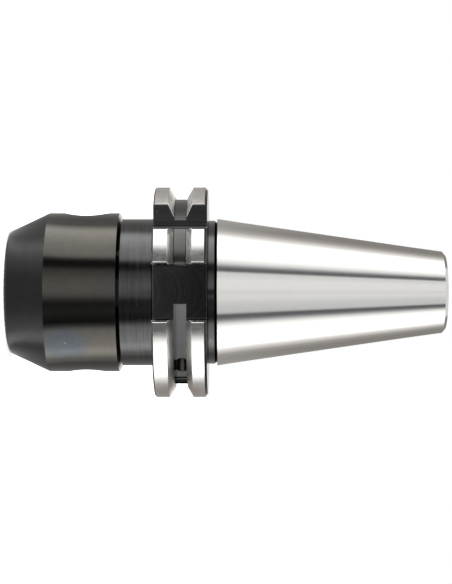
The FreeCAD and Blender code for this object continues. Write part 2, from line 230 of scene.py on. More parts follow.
GROUND_STEEL = (0.63, 0.62, 0.60)
FLANK_STEEL = (0.74, 0.73, 0.70)
BROWN_BLACK = (0.070, 0.065, 0.056)
GREY_BLACK = (0.064, 0.062, 0.056)
TEMPER_BLUE = (0.055, 0.061, 0.068)
NECK_BLACK = (0.063, 0.064, 0.063)
HOLE_BLACK = (0.270, 0.252, 0.225)
NOSE_BLACK = (0.055, 0.055, 0.055)
MILLED_BLACK = (0.030, 0.030, 0.030)
CHANNEL_BLACK = (0.072, 0.072, 0.069)
SLOT_BLACK = (0.060, 0.060, 0.060)
RUBBED_STEEL_AND_HIGHLIGHT = (0.30, 0.29, 0.27)
WORN_EDGE_AND_HIGHLIGHT = (0.10, 0.098, 0.092)
BROWN_STAIN = (0.43, 0.34, 0.28)
SCREW_BLACK = (0.050, 0.050, 0.052)
WORN_STEEL = (0.30, 0.29, 0.28)
SCREW_ROUGHNESS = (0.24, 0.16)
SCREW_RELIEF = 0.01
CREST_WEAR = 0.12

GROUND_ROUGHNESS = 0.12
LAND_ROUGHNESS = 0.18
FLANK_ROUGHNESS = 0.24
FLANK_METAL = (0.88, 0.72)
BLACK_ROUGHNESS = 0.11
NECK_ROUGHNESS = (0.05, 0.20)
CHANNEL_ROUGHNESS = 0.20
HOLE_ROUGHNESS = 0.34
NOSE_ROUGHNESS = 0.22
MILLED_ROUGHNESS = 0.14
ROUGHNESS_SPREAD = 0.05
LAND_SPREAD = 0.16

# How far the streaks, the milling lines and the grain go between light and dark

BRUSHED_CONTRAST = 0.45
MILLED_CONTRAST = 0.36
GRAIN_CONTRAST = 0.10

# The look of rounded edges and the relief of the tool marks, in millimetres

BEVEL_RADIUS = 0.10
TURNING_RELIEF = 0.0025
NECK_RELIEF = 0.0090
GRINDING_RELIEF = 0.0022
MILLING_RELIEF = 0.0045

# Round patches of colour: a centre and a reach, in millimetres, and the share that is full

BLUE_PATCH = ((15.0, -18.0, 18.0), 9.0)
STAIN_PATCH = ((31.5, -11.0, MIDDLE), 11.0)
PATCH_CORE = 0.3

# The lens-shaped painted highlight, on a small facet rubbed bright, where the channel runs out into the
# deep keyway

FACET_HALF_LENGTH = 2.1
FACET_HALF_WIDTH = 0.55
FACET_OFFSET = 0.2
FACET_DEPTH = 1.9
FACET_BLUR = 0.3

# Dust specks: how close they lie, how large they are and which of them are left out

DUST_DENSITY = 0.15
DUST_RADIUS = 0.12
DUST_LEFT_OUT = 0.86

# Darkening of the V-groove's flanks: painted shade by the keyways, and darker over a stretch on the +X
# side: places, blurs and shade

SHADE_BY_KEYWAY = (11.2, 1.4)
DARKER_TOWARDS_X = (20.8, 28.0, 1.6)
FLANK_DARKENING = 0.5

# Shades: of the clouds, of the painted shade in the inner corners, and how much of all of them the taper
# keeps

CLOUD_SHADES = (0.92, 1.07)
CORNER_SHADE = 0.3
TAPER_SHADE_SHARE = 0.2

# Stretches of a noise that are used, and the level and blur where wear, with its painted highlight, and
# stain set in

NOISE_RANGE = (0.32, 0.68)
WARMTH_RANGE = (0.35, 0.65)
CLOUD_RANGE = (0.25, 0.75)
WEAR_AND_HIGHLIGHT_CLOUD = (0.42, 0.2)
STAIN_CLOUD = (0.38, 0.3)
CREST_CLOUD = (0.5, 0.1)

# Milling lines: how close they lie, and how slowly they change along Z

MILLING_LINES = 1.6
MILLING_DRIFT = 0.10


def ground_masks(tree, up, radius):
    """Where the taper and the flange's lands lie, which are ground."""
    taper = tree.both(
        tree.between(up, TAPER_MOUTH + MARGIN, END - TAPER_RIM), tree.above(radius, BORE_RADIUS + BORE_RIM))
    stretch = tree.between(up, FLANGE_FRONT + FRONT_CHAMFER, FLANGE_REAR - REAR_CHAMFER, LAND_BLUR)
    land = tree.both(stretch, tree.above(radius, FLANGE - LAND_SKIN, SOFT_BLUR))
    return taper, land


def hole_mask(tree, across, along, from_middle, slot_reach):
    """Where the drilled balancing hole's wall and floor lie."""
    off_hole = tree.math("SUBTRACT", along, -BALANCE_HOLE_OFFSET)
    squares = tree.math("ADD", tree.square(off_hole), tree.square(from_middle))
    inside = tree.inverse(tree.above(squares, (BALANCE_HOLE_RADIUS + MARGIN) ** 2))
    hole = tree.both(inside, tree.between(slot_reach, *HOLE_ALONG_NORMAL))
    return tree.both(hole, tree.above(across, HOLE_FROM_AXIS))


def wear_and_highlight_mask(tree, across, up, radius):
    """Edges that handling has rubbed, with a painted highlight along them: the flange's ends, the keyway's
    walls and the rear rim.
    """
    near, far = WORN_LIT_END
    ends = tree.either(
        tree.between(up, FLANGE_FRONT + near, FLANGE_FRONT + far, FINE_BLUR),
        tree.between(up, FLANGE_REAR - far, FLANGE_REAR - near, FINE_BLUR))
    walls = tree.both(
        tree.between(tree.math("ABSOLUTE", across), HALF_KEYWAY - LINE_BLUR, HALF_KEYWAY + WORN_LIT_WALL),
        tree.above(radius, CHANNEL_TOP + WALL_FOOT))
    rear_rim = tree.both(
        tree.between(up, FLANGE_REAR - WORN_LIT_RIM, FLANGE_REAR + WIDE_MARGIN, FINE_BLUR),
        tree.above(radius, FLANGE - REAR_CHAMFER - WORN_LIT_RIM))
    return tree.either(ends, walls, rear_rim)


def painted_corner_shade(tree, up, radius, from_middle, channel_wall):
    """Painted shade in the inner corners: along both sides of the channel and where both necks meet the
    flange.
    """
    beside_channel = tree.both(channel_wall, tree.between(
        from_middle, GROOVE_HALF_FLOOR - CORNER_WIDTH, GROOVE_HALF_FLOOR + CORNER_MARGIN))
    front_corner = tree.both(
        tree.between(up, FLANGE_FRONT - FRONT_CORNER, FLANGE_FRONT, SOFT_BLUR),
        tree.inverse(tree.above(radius, FRONT_NECK + WIDE_MARGIN)))
    rear_corner = tree.both(
        tree.between(up, FLANGE_REAR, FLANGE_REAR + REAR_CORNER, SOFT_BLUR),
        tree.inverse(tree.above(radius, REAR_NECK + WIDE_MARGIN)))
    return tree.either(beside_channel, front_corner, rear_corner)


def finish_masks(tree, across, along, up, radius):
    """Where each finish lies on the holder, as numbers from 0 to 1."""
    from_middle = tree.math("ABSOLUTE", tree.math("SUBTRACT", up, MIDDLE))
    taper, land = ground_masks(tree, up, radius)
    flank_line = tree.math("MULTIPLY", tree.math("SUBTRACT", radius, GROOVE_APEX), GROOVE_SLOPE)
    off_flank = tree.math("ABSOLUTE", tree.math("SUBTRACT", from_middle, flank_line))
    flank = tree.both(
        tree.inverse(tree.above(off_flank, FLANK_SKIN)), tree.above(radius, CHANNEL_TOP - MARGIN))
    channel_wall = tree.between(radius, CHANNEL_FLOOR - WIDE_MARGIN, CHANNEL_TOP - MARGIN)
    channel = tree.both(
        tree.inverse(tree.above(from_middle, GROOVE_HALF_FLOOR + LINE_BLUR)), channel_wall)
    slot_reach = tree.math(
        "SUBTRACT",
        tree.math("MULTIPLY", across, math.sin(SLOT_ANGLE)),
        tree.math("MULTIPLY", along, math.cos(SLOT_ANGLE)))
    slot = tree.both(
        tree.inverse(tree.above(from_middle, GROOVE_HALF_FLOOR + SLOT_MARGIN)),
        tree.between(slot_reach, SLOT_FLOOR - MARGIN, SLOT_FLOOR + MARGIN))
    inside_flange = tree.both(
        tree.between(up, FLANGE_FRONT - WIDE_MARGIN, FLANGE_REAR + WIDE_MARGIN),
        tree.above(radius, REAR_NECK + FLANGE_FOOT))
    milled = tree.both(inside_flange, tree.inverse(tree.either(land, flank)))
    on_rear_neck = tree.inverse(tree.above(radius, REAR_NECK + WIDE_MARGIN))
    return {
        "ground": tree.either(taper, land),
        "land": land,
        "flank": flank,
        "channel": channel,
        "slot": slot,
        "hole": hole_mask(tree, across, along, from_middle, slot_reach),
        "nose": tree.inverse(tree.above(up, NOSE_END, NOSE_BLUR)),
        "neck": tree.between(up, COLLAR_END + SHOULDER, FLANGE_FRONT, NECK_BLUR),
        "rear_neck": tree.both(tree.between(up, FLANGE_REAR, TAPER_MOUTH), on_rear_neck),
        "milled": milled,
        "edges": tree.both(milled, wear_and_highlight_mask(tree, across, up, radius)),
        "corners": painted_corner_shade(tree, up, radius, from_middle, channel_wall),
    }


def patch(tree, spot, centre, reach):
    """A soft round patch about a place on the surface."""
    away = tree.add("ShaderNodeVectorMath", {0: spot, 1: centre}, operation="DISTANCE").outputs["Value"]
    limits = {"Value": away, "From Min": reach, "From Max": PATCH_CORE * reach}
    return tree.add("ShaderNodeMapRange", limits, interpolation_type="SMOOTHSTEP").outputs[0]


def lens_facet_highlight(tree, across, along, up):
    """A lens-shaped painted highlight, on a small facet rubbed bright, where the channel runs out into the
    deep keyway.
    """
    along_edge = tree.math("DIVIDE", tree.math("SUBTRACT", up, MIDDLE), FACET_HALF_LENGTH)
    from_edge = tree.math("ADD", across, HALF_KEYWAY + FACET_OFFSET)
    beside_edge = tree.math("DIVIDE", from_edge, FACET_HALF_WIDTH)
    squares = tree.math("ADD", tree.square(along_edge), tree.square(beside_edge))
    lens = tree.inverse(tree.above(squares, 1.0, FACET_BLUR))
    return tree.both(lens, tree.between(along, -CHANNEL_FLOOR, -CHANNEL_FLOOR + FACET_DEPTH))


def dust_specks(tree, across, along, up, radius):
    """A few small light specks, strewn over the unrolled surface."""
    turn = tree.math("ARCTAN2", across, along)
    unrolled = tree.vector(tree.math("MULTIPLY", turn, radius), up, 0.0)
    cells = tree.add(
        "ShaderNodeTexVoronoi", {"Vector": unrolled, "Scale": DUST_DENSITY}, voronoi_dimensions="2D")
    chance = tree.add("ShaderNodeSeparateColor", {"Color": cells.outputs["Color"]}).outputs[0]
    return tree.both(
        tree.math("LESS_THAN", cells.outputs["Distance"], DUST_RADIUS * DUST_DENSITY),
        tree.math("GREATER_THAN", chance, DUST_LEFT_OUT))


def contrast(tree, mark, spread):
    """A shade about 1 that goes as far to both sides as half the spread."""
    return tree.math("MULTIPLY_ADD", mark, spread, 1 - spread / 2)


def holder_shade(tree, masks, marks, across):
    """How light or dark the colour is: clouds, painted shade in the corners, streaks, milling lines, grain,
    and flanks darkened, with painted shade by the keyways.
    """
    shade = tree.ramp(marks["cloud"], *CLOUD_RANGE, *CLOUD_SHADES)
    # Painted shade: the inner corners are darkened
    shade = tree.math("MULTIPLY", shade, tree.blend(masks["corners"], 1.0, CORNER_SHADE))
    brushed = contrast(tree, marks["streaks"], BRUSHED_CONTRAST)
    shade = tree.math("MULTIPLY", shade, tree.blend(masks["neck"], 1.0, brushed))
    lined = contrast(tree, marks["milling"], MILLED_CONTRAST)
    flat = tree.both(masks["milled"], tree.inverse(tree.either(masks["channel"], masks["slot"])))
    shade = tree.math("MULTIPLY", shade, tree.blend(flat, 1.0, lined))
    shade = tree.math("MULTIPLY", shade, contrast(tree, marks["grain"], GRAIN_CONTRAST))
    # Painted shade on the flanks beside the keyways; the flanks are also darker over a stretch towards +X
    shaded_by_keyway = tree.inverse(tree.above(tree.math("ABSOLUTE", across), *SHADE_BY_KEYWAY))
    darkened_flank = tree.either(shaded_by_keyway, tree.between(across, *DARKER_TOWARDS_X))
    shade = tree.math("MULTIPLY", shade, tree.blend(tree.both(masks["flank"], darkened_flank), 1.0, FLANK_DARKENING))
    evened = tree.blend(TAPER_SHADE_SHARE, 1.0, shade)
    return tree.blend(tree.both(masks["ground"], tree.inverse(masks["land"])), shade, evened)


def holder_colour(tree, masks, marks, across, along, up, radius):
    """Blackening in several shades, ground steel, edges rubbed by handling with painted highlights, a
    painted highlight on a rubbed facet, stains and dust.
    """
    spot = tree.vector(across, along, up)
    colour = tree.tint(tree.ramp(marks["wide"], *WARMTH_RANGE), BROWN_BLACK, GREY_BLACK)
    # Wear that is lighter under any lamp, and a painted highlight along the same edges
    worn_and_highlit = tree.both(masks["edges"], tree.above(marks["cloud"], *WEAR_AND_HIGHLIGHT_CLOUD))
    # Painted highlight on a small facet, partly bare steel rubbed bright
    facet = tree.both(lens_facet_highlight(tree, across, along, up), masks["milled"])
    layers = [
        (patch(tree, spot, *BLUE_PATCH), TEMPER_BLUE),
        (tree.either(masks["neck"], masks["rear_neck"]), NECK_BLACK),
        (masks["nose"], NOSE_BLACK),
        (masks["milled"], MILLED_BLACK),
        (masks["channel"], CHANNEL_BLACK),
        (masks["slot"], SLOT_BLACK),
        (masks["hole"], HOLE_BLACK),
        (worn_and_highlit, WORN_EDGE_AND_HIGHLIGHT),
        (facet, RUBBED_STEEL_AND_HIGHLIGHT),
        (dust_specks(tree, across, along, up, radius), RUBBED_STEEL_AND_HIGHLIGHT),
        (masks["flank"], FLANK_STEEL),
        (masks["ground"], GROUND_STEEL),
    ]
    for mask, finish in layers:
        colour = tree.tint(mask, colour, finish)
    stained = tree.both(
        tree.either(masks["flank"], masks["ground"]),
        tree.both(patch(tree, spot, *STAIN_PATCH), tree.above(marks["cloud"], *STAIN_CLOUD)))
    colour = tree.tint(stained, colour, BROWN_STAIN)
    shade = holder_shade(tree, masks, marks, across)
    return tree.add("ShaderNodeVectorMath", {0: colour, "Scale": shade}, operation="SCALE").outputs[0]


def holder_roughness(tree, masks, marks):
    """Each finish's roughness, streaked on the brushed neck."""
    layers = {
        "nose": NOSE_ROUGHNESS,
        "neck": tree.blend(marks["streaks"], *NECK_ROUGHNESS),
        "milled": MILLED_ROUGHNESS,
        "channel": CHANNEL_ROUGHNESS,
        "hole": HOLE_ROUGHNESS,
        "flank": FLANK_ROUGHNESS,
        "ground": GROUND_ROUGHNESS,
        "land": LAND_ROUGHNESS,
    }
    rough = BLACK_ROUGHNESS
    for mask, value in layers.items():
        rough = tree.blend(masks[mask], rough, value)
    mottle = tree.math("SUBTRACT", tree.blend(0.5, marks["cloud"], marks["grain"]), 0.5)
    spread = tree.blend(masks["land"], ROUGHNESS_SPREAD, LAND_SPREAD)
    return tree.math("MULTIPLY_ADD", mottle, spread, rough)


def full_range(tree, noise):
    """A noise stretched from its usual narrow range to 0 and 1."""
    return tree.ramp(noise, *NOISE_RANGE)


def tool_marks(tree, across, along, up, radius):
    """Noises stretched as each tool leaves its marks, and clouds for wear and stain."""
    def stretched(around, lengthwise, face=0.0):
        """The place, drawn out by one factor round the axis, one along it and one on end faces."""
        upwards = tree.math("MULTIPLY_ADD", radius, face, tree.math("MULTIPLY", up, lengthwise))
        sideways = tree.math("MULTIPLY", across, around)
        return tree.vector(sideways, tree.math("MULTIPLY", along, around), upwards)

    # Milling marks run along Z on the notch's faces and in arcs across the keyway floors
    under_arc = tree.math("SUBTRACT", HALF_KEYWAY ** 2, tree.square(across))
    chord = tree.math("SQRT", tree.math("MAXIMUM", under_arc, 0.0))
    on_keyway = tree.math("LESS_THAN", tree.math("ABSOLUTE", across), HALF_KEYWAY + KEYWAY_BEVEL)
    arcs = tree.math("MULTIPLY", tree.math("SUBTRACT", up, chord), MILLING_LINES)
    milled_lines = tree.vector(
        tree.blend(on_keyway, tree.math("MULTIPLY", across, MILLING_LINES), arcs),
        tree.math("MULTIPLY", along, MILLING_LINES),
        tree.math("MULTIPLY", up, MILLING_DRIFT))
    spot = tree.vector(across, along, up)
    return {
        "turning": tree.noise(stretched(0.25, 2.6, 2.6), 1.0, 4.0, 0.65),
        "brushing": tree.noise(stretched(0.35, 5.0), 1.0, 2.0, 0.6),
        "streaks": full_range(tree, tree.noise(stretched(0.06, 3.0), 1.0, 3.0, 0.75)),
        "grinding": tree.noise(stretched(0.9, 3.2), 1.0, 3.0, 0.75),
        "milling": full_range(tree, tree.noise(milled_lines, 1.0, 2.0, 0.6)),
        "wide": tree.noise(spot, 0.05, 2.0, 0.5),
        "cloud": tree.noise(spot, 0.35, 3.0, 0.6),
        "grain": full_range(tree, tree.noise(stretched(2.4, 6.0), 1.0, 2.0, 0.6)),
    }


def holder_material():
    """Blackened steel whose taper and flange lands are ground bright, told apart by place."""
    material = bpy.data.materials.new("holder_steel")
    tree = NodeTree(material)
    across, along, up, radius = tree.place()
    masks = finish_masks(tree, across, along, up, radius)
    marks = tool_marks(tree, across, along, up, radius)

    relief = tree.math("MULTIPLY", marks["turning"], TURNING_RELIEF)
    for mask, mark, height in (
            ("neck", "brushing", NECK_RELIEF),
            ("milled", "milling", MILLING_RELIEF),
            ("ground", "grinding", GRINDING_RELIEF)):
        relief = tree.blend(masks[mask], relief, tree.math("MULTIPLY", marks[mark], height))
    bump = tree.add("ShaderNodeBump", {"Height": relief, "Distance": MM, "Strength": 1.0})
    rounded = tree.add("ShaderNodeBevel", {"Radius": BEVEL_RADIUS * MM}, samples=4)
    tree.tree.links.new(rounded.outputs[0], bump.inputs["Normal"])

    shader = tree.add("ShaderNodeBsdfPrincipled", {
        "Base Color": holder_colour(tree, masks, marks, across, along, up, radius),
        "Roughness": holder_roughness(tree, masks, marks),
        "Metallic": tree.blend(masks["flank"], 1.0, tree.blend(tree.above(up, MIDDLE), *FLANK_METAL)),
        "Normal": bump.outputs[0]})
    tree.add("ShaderNodeOutputMaterial", {"Surface": shader.outputs[0]})
    return material


def screw_material():
    """Blackened screw steel whose thread crests are a little brighter from wear."""
    material = bpy.data.materials.new("screw_steel")
    tree = NodeTree(material)
    across, along, up, radius = tree.place()
    cloud = tree.noise(tree.vector(across, along, up), 0.5, 3.0, 0.6)
    on_crest = tree.above(radius, SCREW_RADIUS / MM - CREST_WEAR)
    colour = tree.tint(tree.both(on_crest, tree.above(cloud, *CREST_CLOUD)), SCREW_BLACK, WORN_STEEL)
    smoothest, spread = SCREW_ROUGHNESS
    rough = tree.math("ADD", smoothest, tree.math("MULTIPLY", cloud, spread))
    bump = tree.add("ShaderNodeBump", {"Height": cloud, "Distance": SCREW_RELIEF * MM, "Strength": 1.0})
    shader = tree.add("ShaderNodeBsdfPrincipled", {
        "Base Color": colour, "Roughness": rough, "Metallic": 1.0, "Normal": bump.outputs[0]})
    tree.add("ShaderNodeOutputMaterial", {"Surface": shader.outputs[0]})
    return material


# Geometry helpers for the threads

TURN_STEPS = 96
PITCH_STEPS = 16
TINY = 0.0001 * MM
HALF_THREAD_ANGLE = math.radians(30)
OUTSIDE_THREAD_DEPTH = 0.6134 * SCREW_PITCH
INSIDE_THREAD_DEPTH = 0.5413 * DRAWBAR_PITCH
SCREW_TIP_RADIUS = 5.25 * MM
SCREW_TIP_CHAMFER = 1.6 * MM
SCREW_TOP_CHAMFER = 0.8 * MM
SOCKET_HALF_WIDTH = 3.0 * MM
SOCKET_DEPTH = 7.0 * MM
DRILL_SLOPE = math.tan(math.radians(31))
DRILL_SHARE = 0.99


def finish_mesh(name, mesh_data, sharp_angle=32):
    """An object from a bmesh: doubles merged, smooth, with its hard edges kept sharp."""
    bmesh.ops.remove_doubles(mesh_data, verts=mesh_data.verts, dist=TINY)
    bmesh.ops.dissolve_degenerate(mesh_data, edges=mesh_data.edges, dist=TINY)
    bmesh.ops.recalc_face_normals(mesh_data, faces=mesh_data.faces)
    mesh = bpy.data.meshes.new(name)
    mesh_data.to_mesh(mesh)
    mesh_data.free()
    mesh.shade_smooth()
    mesh.set_sharp_from_angle(angle=math.radians(sharp_angle))
    piece = bpy.data.objects.new(name, mesh)
    bpy.context.scene.collection.objects.link(piece)
    return piece


def thread_drop(phase, pitch, depth):
    """How far an outside thread lies below its crest, at a phase of 0 to 1 along one pitch."""
    crest_half = 1 / 16
    slope = pitch / math.tan(HALF_THREAD_ANGLE)
    return min(max((abs(phase - 0.5) - crest_half) * slope, 0.0), depth)


def on_circle(mesh_data, radius, turn, height):
    """A new point of a mesh, at a radius and a turn about Z."""
    return mesh_data.verts.new((radius * math.cos(turn), radius * math.sin(turn), height))


def screw_envelope(height):
    """The screw's radius as turned, before its thread was cut."""
    at_tip = SCREW_TIP_RADIUS + (SCREW_RADIUS - SCREW_TIP_RADIUS) * height / SCREW_TIP_CHAMFER
    at_top = SCREW_RADIUS - SCREW_TOP_CHAMFER + (SCREW_LENGTH - height)
    return min(SCREW_RADIUS, at_tip, at_top)


def add_screw_thread(mesh_data, turns):
    """The screw's side: each row follows the helix, and is held to the screw's two ends."""
    grid = []
    for row in range(-PITCH_STEPS, int(SCREW_LENGTH / SCREW_PITCH * PITCH_STEPS) + 1):
        phase = (row % PITCH_STEPS) / PITCH_STEPS
        crest = SCREW_RADIUS - thread_drop(phase, SCREW_PITCH, OUTSIDE_THREAD_DEPTH)
        ring = []
        for turn in turns + [2 * math.pi]:
            height = SCREW_PITCH * (row / PITCH_STEPS + turn / (2 * math.pi))
            height = min(max(height, 0.0), SCREW_LENGTH)
            ring.append(on_circle(mesh_data, min(crest, screw_envelope(height)), turn, height))
        grid.append(ring)
    for lower, upper in zip(grid, grid[1:]):
        for step in range(TURN_STEPS):
            mesh_data.faces.new((lower[step], lower[step + 1], upper[step + 1], upper[step]))


def add_screw_ends(mesh_data, turns):
    """The screw's tip, and its top with the socket and the drill's cone, as rings of points."""
    def round_ring(radius):
        return lambda turn: radius

    def hexagon_ring(turn):
        return SOCKET_HALF_WIDTH / math.cos(turn % (math.pi / 3) - math.pi / 6)

    floor_height = SCREW_LENGTH - SOCKET_DEPTH
    tip_rings = [(round_ring(SCREW_TIP_RADIUS), 0.0), (round_ring(0.0), 0.0)]
    top_rings = [
        (round_ring(SCREW_RADIUS - SCREW_TOP_CHAMFER), SCREW_LENGTH),
        (hexagon_ring, SCREW_LENGTH),
        (hexagon_ring, floor_height),
        (round_ring(SOCKET_HALF_WIDTH * DRILL_SHARE), floor_height),
        (round_ring(0.0), floor_height - SOCKET_HALF_WIDTH * DRILL_SLOPE),
    ]
    for rings in (tip_rings, top_rings):
        loops = []
        for radius, height in rings:
            loops.append([on_circle(mesh_data, radius(turn), turn, height) for turn in turns])
        for inner, outer in zip(loops, loops[1:]):
            for step in range(TURN_STEPS):
                after = (step + 1) % TURN_STEPS
                mesh_data.faces.new((inner[step], inner[after], outer[after], outer[step]))


def clamping_screw_mesh():
    """The clamping screw, drawn upright from its tip: a real helical thread and a hexagon socket."""
    mesh_data = bmesh.new()
    turns = [2 * math.pi * step / TURN_STEPS for step in range(TURN_STEPS)]
    add_screw_thread(mesh_data, turns)
    add_screw_ends(mesh_data, turns)
    return finish_mesh("clamping_screw_thread", mesh_data)


def inside_thread(name, wall_radius, crest_radius, pitch, start, length):
    """The ridge of an inside thread, drawn about +Z on its hole's plain wall."""
    base_half = 0.40 * pitch
    crest_half = 0.11 * pitch
    fade = 0.25
    mesh_data = bmesh.new()
    turns_count = (length - 2 * base_half) / pitch
    steps = int(turns_count * TURN_STEPS)
    before = None
    for step in range(steps + 1):
        turn = 2 * math.pi * step / TURN_STEPS
        middle = start + base_half + pitch * step / TURN_STEPS
        run_in = min(step, steps - step) / TURN_STEPS / fade
        height = (wall_radius - crest_radius) * min(run_in, 1.0)
        section = [
            (wall_radius, -base_half),
            (wall_radius - height, -crest_half),
            (wall_radius - height, crest_half),
            (wall_radius, base_half),
        ]
        ring = [on_circle(mesh_data, radius, turn, middle + offset) for radius, offset in section]
        if before:
            for corner in range(3):
                after = corner + 1
                mesh_data.faces.new((before[corner], before[after], ring[after], ring[corner]))
        before = ring
    return finish_mesh(name, mesh_data)


# The holder keeps its solid and gets its finishes

holder_steel = holder_material()
blackened_screw = screw_material()
holder_node = frame["nodes"]["holder_body"]
for material_slot in holder_node.material_slots:
    material_slot.material = holder_steel

# The clamping screw lies across the holder, tip inwards and socket towards -X

screw_turn = Matrix.Rotation(math.radians(-90), 4, "Y")
threaded_screw = clamping_screw_mesh()
threaded_screw.matrix_world = Matrix.Translation((SCREW_TIP, 0, SCREW_STATION)) @ screw_turn
threaded_screw.data.materials.append(blackened_screw)
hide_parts("clamping_screw")
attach(threaded_screw, "screw")

# The drawbar thread, from its last turn up to the locating bore

DRAWBAR_DEPTH = 30.9 * MM

drawbar = mounts["drawbar_thread"]["dims"]
drawbar_radius = drawbar["r_mm"] * MM
drawbar_ridge = inside_thread(
    "drawbar_thread_ridge", drawbar_radius, drawbar_radius - INSIDE_THREAD_DEPTH, DRAWBAR_PITCH,
    SMALL_END - DRAWBAR_DEPTH, drawbar["length_mm"] * MM)
drawbar_ridge.data.materials.append(holder_steel)
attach(drawbar_ridge, "holder")


# Stage: floor, world, lamps and the light tent that the metal mirrors

WHITE = (1.0, 1.0, 1.0, 1.0)
FLOOR_GREY = (0.85, 0.85, 0.85, 1.0)
FLOOR_SIZE = 6.0
FLOOR_HEIGHT = -0.02 * MM
GLOW_STRETCH = (120.0, 450.0)
GLOW_LEVELS = (0.48, 1.0)
FILL_LEVEL = 0.55
LAMP_SIZE = 0.6


def seen_directly(tree):
    """1 for camera, glossy and transmission rays, which see a white background."""
    path = tree.add("ShaderNodeLightPath")
    seen = tree.math("MAXIMUM", path.outputs["Is Camera Ray"], path.outputs["Is Glossy Ray"])
    return tree.math("MAXIMUM", seen, path.outputs["Is Transmission Ray"])


def make_plane(name, size, height):
    """A square stage plane about the origin."""
    mesh = bpy.data.meshes.new(name)
    half = size / 2
    square = [(-half, -half), (half, -half), (half, half), (-half, half)]
    mesh.from_pydata([(*corner, height) for corner in square], [], [(0, 1, 2, 3)])
    plane = bpy.data.objects.new(name, mesh)
    bpy.context.scene.collection.objects.link(plane)
    return plane


def floor_material():
    """A pale floor that glows more and more outwards: it reads as white and keeps a soft shadow."""
    material = bpy.data.materials.new("floor_pale")
    tree = NodeTree(material)
    pale = tree.add("ShaderNodeBsdfDiffuse", {"Color": FLOOR_GREY})
    rising = tree.ramp(tree.place()[3], *GLOW_STRETCH, *GLOW_LEVELS)
    strength = tree.math("MULTIPLY", seen_directly(tree), rising)
    glow = tree.add("ShaderNodeEmission", {"Color": WHITE, "Strength": strength})
    together = tree.add("ShaderNodeAddShader", {0: pale.outputs[0], 1: glow.outputs[0]})
    tree.add("ShaderNodeOutputMaterial", {"Surface": together.outputs[0]})
    return material


def white_world():
    """White where it is seen or mirrored, and a plain fill light elsewhere."""
    world = bpy.data.worlds.new("studio")
    bpy.context.scene.world = world
    tree = NodeTree(world)
    strength = tree.blend(seen_directly(tree), FILL_LEVEL, 1.0)
    background = tree.add("ShaderNodeBackground", {"Color": WHITE, "Strength": strength})
    tree.add("ShaderNodeOutputWorld", {"Surface": background.outputs[0]})


# What the metal mirrors, by the angle round the holder from the camera's side: degrees,
# brightness and a warm or cool tint. The picture's top is positive. The collar, the neck and the
# flange mirror the first row, the taper mirrors the raised one and the nose cone the foot.

TENT_LEVEL = [
    (-180, 0.25, 0.04), (-118, 0.42, 0.03), (-104, 1.4, 0.0), (-97, 2.7, 0.0), (-90, 3.3, 0.0),
    (-79, 2.45, 0.0), (-54, 1.6, 0.0), (-50, 0.95, 0.0), (-47, 0.45, 0.0), (-44, 0.20, -0.03),
    (-41.5, 0.06, -0.03), (-27, 0.19, -0.01), (-15, 0.13, 0.0), (-10.5, 0.28, 0.0), (-5, 0.78, 0.0),
    (1, 1.05, 0.0), (9, 1.07, 0.0), (17.5, 0.88, 0.0), (30, 0.48, 0.0), (35.4, 0.10, -0.02),
    (42, 0.06, -0.03), (44.5, 0.14, -0.02), (47.5, 0.6, -0.02), (50, 1.55, 0.0), (53.5, 1.9, 0.0),
    (68, 2.4, 0.0), (90, 3.6, 0.0), (96, 3.5, 0.0), (102, 2.2, 0.0), (108.5, 0.8, 0.02),
    (125, 0.48, 0.04), (180, 0.28, 0.04),
]
TENT_RAISED = [
    (-180, 0.27, 0.06), (-132, 0.33, 0.06), (-118, 0.48, 0.05), (-106, 1.05, 0.02), (-96, 2.1, 0.0),
    (-75, 2.2, 0.0), (-56, 1.5, 0.0), (-49, 0.75, -0.02), (-44.7, 0.25, -0.04), (-40.2, 0.12, -0.04),
    (-35.8, 0.14, -0.04), (-34.6, 0.82, -0.02), (-20, 0.89, -0.01), (-11, 1.04, 0.0), (-6, 1.09, 0.0),
    (0, 1.0, 0.0), (6, 1.13, 0.0), (20, 1.15, 0.0), (26, 1.03, -0.01), (32.6, 1.0, -0.01),
    (33.8, 0.15, -0.04), (38.5, 0.12, -0.04), (43, 0.42, -0.03), (47, 0.99, -0.02), (54, 1.5, 0.0),
    (68, 2.2, 0.0), (90, 2.4, 0.0), (96, 2.0, 0.0), (106, 1.1, 0.02), (118, 0.52, 0.05),
    (132, 0.33, 0.06), (180, 0.27, 0.06),
]
TENT_FOOT = [
    (-180, 0.27, 0.02), (-112, 0.33, 0.02), (-84, 0.62, 0.01), (-66, 0.50, 0.0), (-60, 0.7, 0.0),
    (-56, 1.4, 0.0), (-50, 1.75, 0.0), (-45, 1.45, 0.0), (-40, 1.0, 0.0), (-32, 0.74, 0.0),
    (-19, 0.47, -0.01), (-10, 0.40, -0.01), (10, 0.40, -0.01), (19, 0.46, -0.01), (32, 0.76, 0.0),
    (40, 1.1, 0.0), (48, 1.55, 0.0), (54, 1.45, 0.0), (60, 1.08, 0.0), (66.5, 0.75, 0.0),
    (84, 0.60, 0.01), (112, 0.34, 0.02), (180, 0.27, 0.02),
]
BRIGHTEST = 4.0
RAISED_STRETCH = (0.09, 0.15)

# The dark lens that looks through the tent's front: this and what follows is in metres

LENS_HEIGHT = 0.071
LENS_RADIUS = 0.040
LENS_BLUR = 0.012
LENS_LEVEL = 0.15

# Between two heights the softboxes lean inwards, by a factor on their angle, and grow lighter

LEAN_LOW = 0.021
LEAN_HIGH = 0.034
LEAN = 1.04
LIFT = 0.085

# The white backdrop, which the collar's shoulder mirrors at the outlines

BACKDROP_HALF = 0.13
BACKDROP_LOW = 0.065
BACKDROP_TOP = 0.185
BACKDROP_LEVEL = 1.25
BACKDROP_BLUR = (0.01, 0.012)

# The tent's foot lies just above the floor. The tent is open behind.

